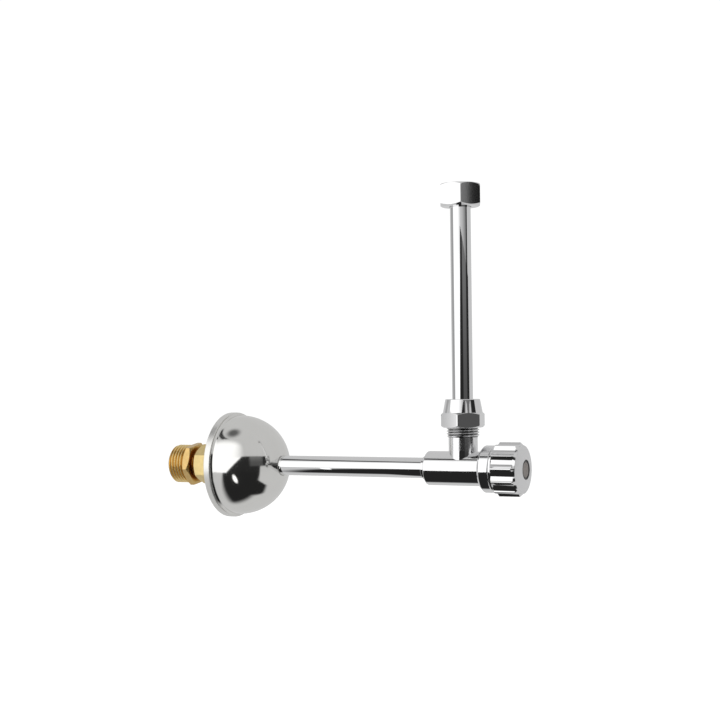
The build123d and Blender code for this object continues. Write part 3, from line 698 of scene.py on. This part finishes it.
union_outline = (
    [(132.4, 5.6), (132.4, 8.6)]
    + steps_between((132.4, 9.2), (133.755, NUT_CORNER_R), 20)
    + steps_between((133.755, NUT_CORNER_R), (143.05, NUT_CORNER_R), 10)
    + steps_between((143.05, NUT_CORNER_R), (144.0, 9.9), 16)
    + [(144.0, 9.9), (144.0, 9.3), (144.0, 8.6), (138.5, 8.6), (138.5, 7.9), (133.9, 7.9)]
    + [(133.9, 5.6)]
)
union_thread = thread_mesh(
    NUT_CHROME, "union_thread", start=138.5, end=143.98, crest_radius=8.35, root_radius=7.475,
    pitch=1.337, wall_radius=9.0, start_radius=8.2, end_radius=8.5,
)
piece_of(
    "union_nut_chromed",
    [
        hexagon_mesh(union_outline, 20.0, 23.9, 132.4, 144.0, NUT_CHROME, "union_nut_shape"),
        union_thread,
    ],
    NUT_CHROME, "riser_nut", "chromed_nut", "union_nut", upright=True,
)


# Knob: one chromed casting. A plain ring next to the body, twelve scooped flutes closed at
# the front, and a satin domed face with a recess for its cap.

def leg_of(build, long_side, short_side):
    """The third side of a right triangle, or nothing where there is none."""
    rest = build.minus(build.times(long_side, long_side), build.times(short_side, short_side))
    return build.math("SQRT", build.larger(rest, 0.0))


def flute_tree():
    """Scoops evenly spaced hollows into a turned grip, closed steeply at both ends."""
    end_steepness = 40.0
    build, given, leave = geometry_tree(
        "grip_flutes", "Count", "Turn", "Centre radius", "Scoop radius", "From", "To", "Corner",
        "Edge", "Inside",
    )
    size = given.outputs
    x, y, z, radius, angle = about_axis(build, size["Turn"])
    along = build.over(x, MM)
    space = build.over(FULL_TURN, size["Count"])
    half_space = build.over(space, 2.0)
    off = build.math("MODULO", build.plus(angle, half_space), space)
    off = build.math("RADIANS", build.minus(off, half_space))
    side = build.times(size["Centre radius"], build.math("SINE", off))
    reach = build.times(size["Centre radius"], build.math("COSINE", off))
    floor_r = build.minus(reach, leg_of(build, size["Scoop radius"], side))
    past = build.minus(along, build.minus(size["To"], size["Corner"]))
    past = build.larger(past, 0.0)
    rise = build.minus(size["Corner"], leg_of(build, size["Corner"], past))
    beyond = build.larger(build.minus(past, size["Corner"]), 0.0)
    before = build.larger(build.minus(size["From"], along), 0.0)
    outside = build.times(build.plus(beyond, before), end_steepness)
    floor_r = build.plus(floor_r, build.plus(rise, outside))
    cut = build.math("SMOOTH_MIN", radius, floor_r, size["Edge"])
    places = pulled_in(build, x, y, z, radius, cut)
    chosen = build.math("GREATER_THAN", radius, size["Inside"])
    return finish_tree(build, given.outputs["Geometry"], places, given, leave, chosen)


def finely(outline, low, high, inner, step):
    """Adds points to an outline between two places, where it lies outside an inner radius."""
    points = []
    for here, after in zip(outline, outline[1:] + outline[:1]):
        points.append(here)
        span = math.dist(here, after)
        inside = min(here[0], after[0]) > low and max(here[0], after[0]) < high
        if inside and min(here[1], after[1]) > inner and span > 1.5 * step:
            points += steps_between(here, after, math.ceil(span / step))[1:]
    return points


def knob_chrome():
    """Polished chrome on the grip, satin over the domed face."""
    material = finish_of("knob_chrome", (0.82, 0.82, 0.825), 0.04, 0.02, 0.02, 160.0, 0.03)
    build, marks, shader, place = opened(material)
    face = build.ramp(place[0], 0.19500, 0.19512)
    build.join(build.plus(marks["Roughness"], build.times(face, 0.30)), shader["Roughness"])
    return material


KNOB_CHROME = knob_chrome()
KNOB_R, FACE_R, FLOOR_R, UNCUT_R = 13.55, 12.0, 11.65, 11.4
FACE_X, CROWN_X = 195.1, 197.0
FLUTES, FLUTE_TURN, RIB_ANGLE = 12, 11.25, 3.6
face_curve = (FACE_R ** 2 + (CROWN_X - FACE_X) ** 2) / 2 / (CROWN_X - FACE_X)
face_outline = [
    (CROWN_X - face_curve + math.sqrt(face_curve ** 2 - r * r), r)
    for r in [5.0, 5.15, 5.8, 6.6, 7.6, 8.6, 9.6, 10.6, UNCUT_R]
]
knob_outline = (
    [(195.55, 5.0), (face_outline[0][0] - 0.12, 5.0)]
    + face_outline[1:]
    + eased([
        (FACE_X + 0.35, FACE_R - 1.2), (FACE_X, FACE_R, 0.35), (193.4, KNOB_R, 0.3), (192.6, KNOB_R),
    ])[1:-1]
    + steps_between((192.6, KNOB_R), (183.2, KNOB_R), 14)
    + eased([(183.2, KNOB_R), (182.6, KNOB_R, 0.2), (182.0, 12.3, 0.12), (181.5, 12.3)])[1:-1]
    + eased([
        (181.4, 12.3), (180.9, 12.3, 0.25), (180.9, 10.6, 0.15), (188.9, 10.6, 0.4),
        (188.9, 6.2, 0.3), (183.9, 6.2, 0.2), (183.9, 3.75),
    ])
    + [(190.1, 3.75), (190.1, 2.1), (192.1, 2.1), (192.1, 4.3), (195.55, 4.3)]
)
knob_outline = finely(knob_outline, 181.9, 195.0, UNCUT_R, 0.12)
knob_blank = closed_mesh(turned(knob_outline, 480, FLUTE_TURN), "knob_blank")
half_flute = math.radians((FULL_TURN / FLUTES - RIB_ANGLE) / 2)
flute_half_width = KNOB_R * math.sin(half_flute)
flute_depth = KNOB_R * math.cos(half_flute) - FLOOR_R
scoop_r = (flute_half_width ** 2 + flute_depth ** 2) / 2 / flute_depth
knob_values = {
    "Count": FLUTES, "Turn": FLUTE_TURN, "Centre radius": FLOOR_R + scoop_r,
    "Scoop radius": scoop_r, "From": 182.0, "To": 194.7, "Corner": 0.6, "Edge": 0.5,
    "Inside": UNCUT_R,
}
knob_mesh = closed_mesh(
    grown(flute_tree(), knob_blank, KNOB_CHROME, knob_values, "knob_shape"), "knob_shape", 50.0
)
piece_of("knob_fluted", [knob_mesh], KNOB_CHROME, "handle", "chromed_knob", "knob")


# Cap: a small moulded disc, dull bronze and left bare, with painted shade darkening its edge. It is
# pressed into the recess in the knob's face and hides the screw.

def cap_finish():
    """A dull bronze disc, its edge darkened by painted shade."""
    material = finish_of("cap_finish", (0.20, 0.175, 0.16), 0.36, 0.25, 0.9, 900.0, 0.35, 0.0)
    build, marks, shader, place = opened(material)
    off = build.length(place[1], place[2])
    # Painted shade: the edge of the disc is darkened where the recess shades it.
    rim = build.ramp(off, 0.0036, 0.0040, 1.0, 0.05)
    build.join(build.scaled(marks["Color"], rim), shader["Base Color"])
    return material


CAP_FINISH = cap_finish()
cap_outline = eased([
    (195.55, 0.0), (196.35, 0.0), (196.35, 4.0, 0.05), (196.25, 4.15, 0.05), (196.1, 4.8, 0.1),
    (195.55, 4.8, 0.05), (195.55, 4.2), (194.35, 4.2), (194.35, 3.7), (195.5, 3.7), (195.5, 0.0),
])
piece_of(
    "knob_cap_disc", [closed_mesh(turned(cap_outline, 128), "knob_cap_shape")],
    CAP_FINISH, "handle", "cap_plastic", "knob_cap",
)


# Inner works: headwork, spindle, plunger, rings and screws keep their own solids, and take
# plain machined brass, steel or black rubber.

WORKS_BRASS = finish_of("works_brass", (0.80, 0.58, 0.25), 0.28, 0.12, 0.2, 350.0, 0.2)
WORKS_STEEL = finish_of("works_steel", (0.60, 0.60, 0.61), 0.25, 0.1, 0.1, 500.0, 0.2)
WORKS_RUBBER = finish_of("works_rubber", (0.03, 0.03, 0.03), 0.62, 0.15, 0.3, 700.0, 0.4, 0.0)
works = {
    "inlet_olive": WORKS_BRASS, "outlet_olive": WORKS_BRASS, "headwork": WORKS_BRASS,
    "spindle": WORKS_BRASS, "valve_plunger": WORKS_BRASS, "washer_screw": WORKS_BRASS,
    "union_ring": WORKS_BRASS, "spindle_clip": WORKS_STEEL, "knob_screw": WORKS_STEEL,
    "headwork_seal": WORKS_RUBBER, "spindle_seal_inner": WORKS_RUBBER,
    "spindle_seal_outer": WORKS_RUBBER, "tap_washer": WORKS_RUBBER, "union_washer": WORKS_RUBBER,
}
for node, material in works.items():
    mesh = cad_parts[node].data
    mesh.materials.clear()
    mesh.materials.append(material)


# Floor and light: a pale table under the tap in a plain white room. Polished metal mirrors a
# white screen standing in front, a low dark card beside it, a dark patch of table between,
# and one small bright card. All four show only in reflections, as painted reflections.

def stage_paint(name):
    """A new material, a builder for its tree, and the socket that shows its surface."""
    paint = bpy.data.materials.new(name)
    paint.use_nodes = True
    surface = paint.node_tree.nodes["Material Output"].inputs["Surface"]
    return paint, Tree(paint.node_tree), surface


FLOOR_Z = -0.092
FLOOR_REACH = 6
floor_mesh = bpy.data.meshes.new("floor")
floor_mesh.from_pydata(
    [(x * FLOOR_REACH, y * FLOOR_REACH, FLOOR_Z) for x, y in ((-1, -1), (1, -1), (1, 1), (-1, 1))],
    [], [(0, 1, 2, 3)],
)
floor = as_object(floor_mesh, "floor")
floor_paint, build, surface = stage_paint("floor_paint")
diffuse = floor_paint.node_tree.nodes["Principled BSDF"]
diffuse.inputs["Base Color"].default_value = (0.86, 0.86, 0.86, 1.0)
diffuse.inputs["Roughness"].default_value = 0.9
diffuse.inputs["Specular IOR Level"].default_value = 0.0
path = build.add("ShaderNodeLightPath").outputs
x, y, z = build.place()
# The dark patch is painted into the table's reflections only. It has a slanted left edge, and a
# far edge that steps back beyond the flange and comes nearer again from the riser on.
left = build.math("MULTIPLY_ADD", y, -0.15, x)
past = build.larger(build.minus(x, 0.15), 0.0)
past = build.smaller(build.times(past, 2.0), build.math("MULTIPLY_ADD", past, 0.24, 0.060))
back = build.minus(build.plus(y, past), build.ramp(x, 0.075, 0.105, 0.0, 0.035))
dark = build.times(build.ramp(left, 0.0, 0.028), build.ramp(back, -0.025, 0.0, 1.0, 0.0))
# Painted reflection: reflected rays see the dark patch, the camera sees the table evenly pale.
mirrored = build.times(path["Is Glossy Ray"], build.math("MULTIPLY_ADD", dark, -0.62, 0.64))
seen = build.times(path["Is Camera Ray"], 0.40)
nothing = build.add("ShaderNodeEmission")
nothing.inputs["Strength"].default_value = 0.0
matt = build.add("ShaderNodeMixShader")
build.join(path["Is Glossy Ray"], matt.inputs[0])
build.join(diffuse.outputs[0], matt.inputs[1])
build.join(nothing.outputs[0], matt.inputs[2])
both = build.add("ShaderNodeAddShader")
build.join(matt.outputs[0], both.inputs[0])
build.join(build.glow(build.plus(seen, mirrored)), both.inputs[1])
build.join(both.outputs[0], surface)
floor_mesh.materials.append(floor_paint)

CARD_TOP = 0.15
screen_walls = [
    ((-0.62, -0.36, 0.62), (0.36, -0.36, 0.62)),
    ((0.262, -0.355, 0.161), (0.33, -0.25, 0.147)),
    ((0.33, -0.25, 0.147), (0.40, -0.085, 0.127)),
    ((0.40, -0.085, 0.127), (0.42, 0.0, 0.12)),
    ((0.42, 0.0, 0.12), (0.42, 0.07, 0.115)),
]
screen_corners, screen_faces = [], []
for here, after in screen_walls:
    first = len(screen_corners)
    screen_corners += [(*here[:2], FLOOR_Z), (*after[:2], FLOOR_Z), after, here]
    screen_faces.append(tuple(range(first, first + 4)))
screen_mesh = bpy.data.meshes.new("screen")
screen_mesh.from_pydata(screen_corners, [], screen_faces)
screen = as_object(screen_mesh, "screen")
screen_paint, build, surface = stage_paint("screen_paint")
x, y, z = build.place()
# White above the card, fading upwards and to the right. The card lies right of a slanted
# edge, paler in its middle and light at the foot of its far end.
fade = build.larger(build.ramp(x, 0.08, 0.36, 1.0, 0.0), build.ramp(z, 0.12, 0.17, 1.0, 0.0))
edge = build.times(build.ramp(x, -0.60, -0.52), fade)
edge = build.times(edge, build.ramp(z, 0.36, 0.62, 1.0, 0.1))
slanted = build.ramp(build.minus(z, x), -0.115, -0.099)
above = build.larger(slanted, build.ramp(z, CARD_TOP - 0.004, CARD_TOP + 0.006))
above = build.times(above, build.ramp(y, -0.3595, -0.3585, 1.0, 0.0))
bright = build.times(build.math("MULTIPLY_ADD", edge, 0.70, 0.60), above)
aside = build.bearing(build.minus(x, RISER_X), build.times(y, -1.0))
# Painted reflection: in its middle the dark card grows paler upwards.
painted_reflection_lift = build.plus(build.ramp(z, -0.02, 0.01, 0.0, 0.07), build.ramp(z, 0.03, 0.15, 0.0, 0.10))
dim = build.math("MULTIPLY_ADD", build.within(aside, 35.0, 77.0, 5.0), painted_reflection_lift, 0.022)
under = build.times(build.ramp(aside, 64.0, 70.0), build.ramp(z, -0.02, 0.0, 0.6, 0.0))
dim = build.times(build.plus(dim, under), build.minus(1.0, above))
build.join(build.glow(build.plus(bright, dim)), surface)
screen_mesh.materials.append(screen_paint)

# Painted highlight: the small card glows only in reflections and puts the light spot on the flange's
# dome.
SHEEN_AT = Vector((0.0527, -0.0613, -0.0286))
SHEEN_SIDES = 24
sheen_axes = Vector((0.0028, 0.0062, -0.0102)), Vector((0.0038, 0.0002, 0.0021))
sheen_mesh = bpy.data.meshes.new("table_sheen")
sheen_turns = [2 * math.pi * step / SHEEN_SIDES for step in range(SHEEN_SIDES)]
sheen_mesh.from_pydata(
    [SHEEN_AT + sheen_axes[0] * math.sin(a) + sheen_axes[1] * math.cos(a) for a in sheen_turns],
    [], [tuple(range(SHEEN_SIDES))],
)
sheen = as_object(sheen_mesh, "table_sheen")
sheen_paint, build, surface = stage_paint("sheen_paint")
off_centre = build.distance("Object", SHEEN_AT)
build.join(build.glow(build.ramp(off_centre, 0.004, 0.014, 1.5, 0.5)), surface)
sheen_mesh.materials.append(sheen_paint)
for card in (screen, sheen):
    card.visible_camera = False
    card.visible_diffuse = False
    card.visible_shadow = False

world = bpy.data.worlds.new("room")
bpy.context.scene.world = world
world.use_nodes = True
build = Tree(world.node_tree)
path = build.add("ShaderNodeLightPath").outputs
x, y, z = build.place("Generated")
# The room as metal mirrors it: darker on the right with a dark post, a high slit and a dip on
# the left, and a patch overhead.
across = build.bearing(x, build.times(y, -1.0))
height = build.math("DEGREES", build.math("ARCSINE", z))
shaded = build.times(build.ramp(across, 20.0, 98.0), build.within(height, -20.0, 11.0, 4.0))
level = build.math("MULTIPLY_ADD", shaded, -0.46, 0.63)
level = build.larger(level, build.ramp(across, 98.0, 101.0, 0.0, 0.63))
post = build.times(build.within(across, 85.06, 98.0, 0.05), build.within(height, -20.0, 9.5, 2.0))
slit = build.times(build.within(across, -95.0, -15.0, 8.0), build.within(height, 52.5, 59.5, 1.2))
dip = build.times(build.within(across, -104.0, -69.0, 8.0), build.within(height, -14.0, 14.0, 6.0))
from_patch = build.distance("Generated", (-0.14, -0.20, 0.97))
zenith = build.ramp(from_patch, 0.08, 0.30, 1.0, 0.0)
for part, depth in ((slit, 0.93), (post, 0.94), (dip, 0.4), (zenith, 0.8)):
    level = build.times(level, build.math("MULTIPLY_ADD", part, -depth, 1.0))
glossy = path["Is Glossy Ray"]
plain = build.math("MULTIPLY_ADD", path["Is Camera Ray"], 0.3, 0.75)
strength = build.plus(build.times(glossy, level), build.times(build.minus(1.0, glossy), plain))
background = world.node_tree.nodes["Background"].inputs
build.join(strength, background["Strength"])
background["Color"].default_value = (1.0, 1.0, 1.0, 1.0)

lamp_data = bpy.data.lights.new("soft_lamp", "AREA")
lamp_data.shape = "DISK"
lamp_data.size = 0.9
lamp_data.energy = 6.0
lamp = bpy.data.objects.new("soft_lamp", lamp_data)
lamp.location = (-0.35, -0.75, 1.1)
lamp.rotation_euler = (Vector((0.1, 0.0, 0.0)) - lamp.location).to_track_quat("-Z", "Y").to_euler()
lamp.visible_glossy = False
bpy.context.scene.collection.objects.link(lamp)

SENSOR_WIDTH = 36.0
FOCAL_IN_PIXELS, FRAME_IN_PIXELS = 1460.6, 720.0
camera_data = bpy.data.cameras.new("camera")
camera_data.sensor_width = SENSOR_WIDTH
camera_data.lens = FOCAL_IN_PIXELS / FRAME_IN_PIXELS * SENSOR_WIDTH
camera_data.clip_start = 0.01
camera = bpy.data.objects.new("camera", camera_data)
yaw, pitch, roll = math.radians(27.06), math.radians(0.80), math.radians(-0.67)
ahead = Vector((-math.sin(yaw) * math.cos(pitch), math.cos(yaw) * math.cos(pitch), math.sin(pitch)))
right = Vector((math.cos(yaw), math.sin(yaw), 0.0))
upward = right.cross(ahead)
right, upward = (
    right * math.cos(roll) + upward * math.sin(roll),
    upward * math.cos(roll) - right * math.sin(roll),
)
turn = Matrix((right, upward, -ahead)).transposed()
camera.matrix_world = Matrix.Translation((0.4529, -0.6810, 0.04515)) @ turn.to_4x4()
bpy.context.scene.collection.objects.link(camera)
bpy.context.scene.camera = camera
bpy.context.scene.view_settings.view_transform = "Standard"
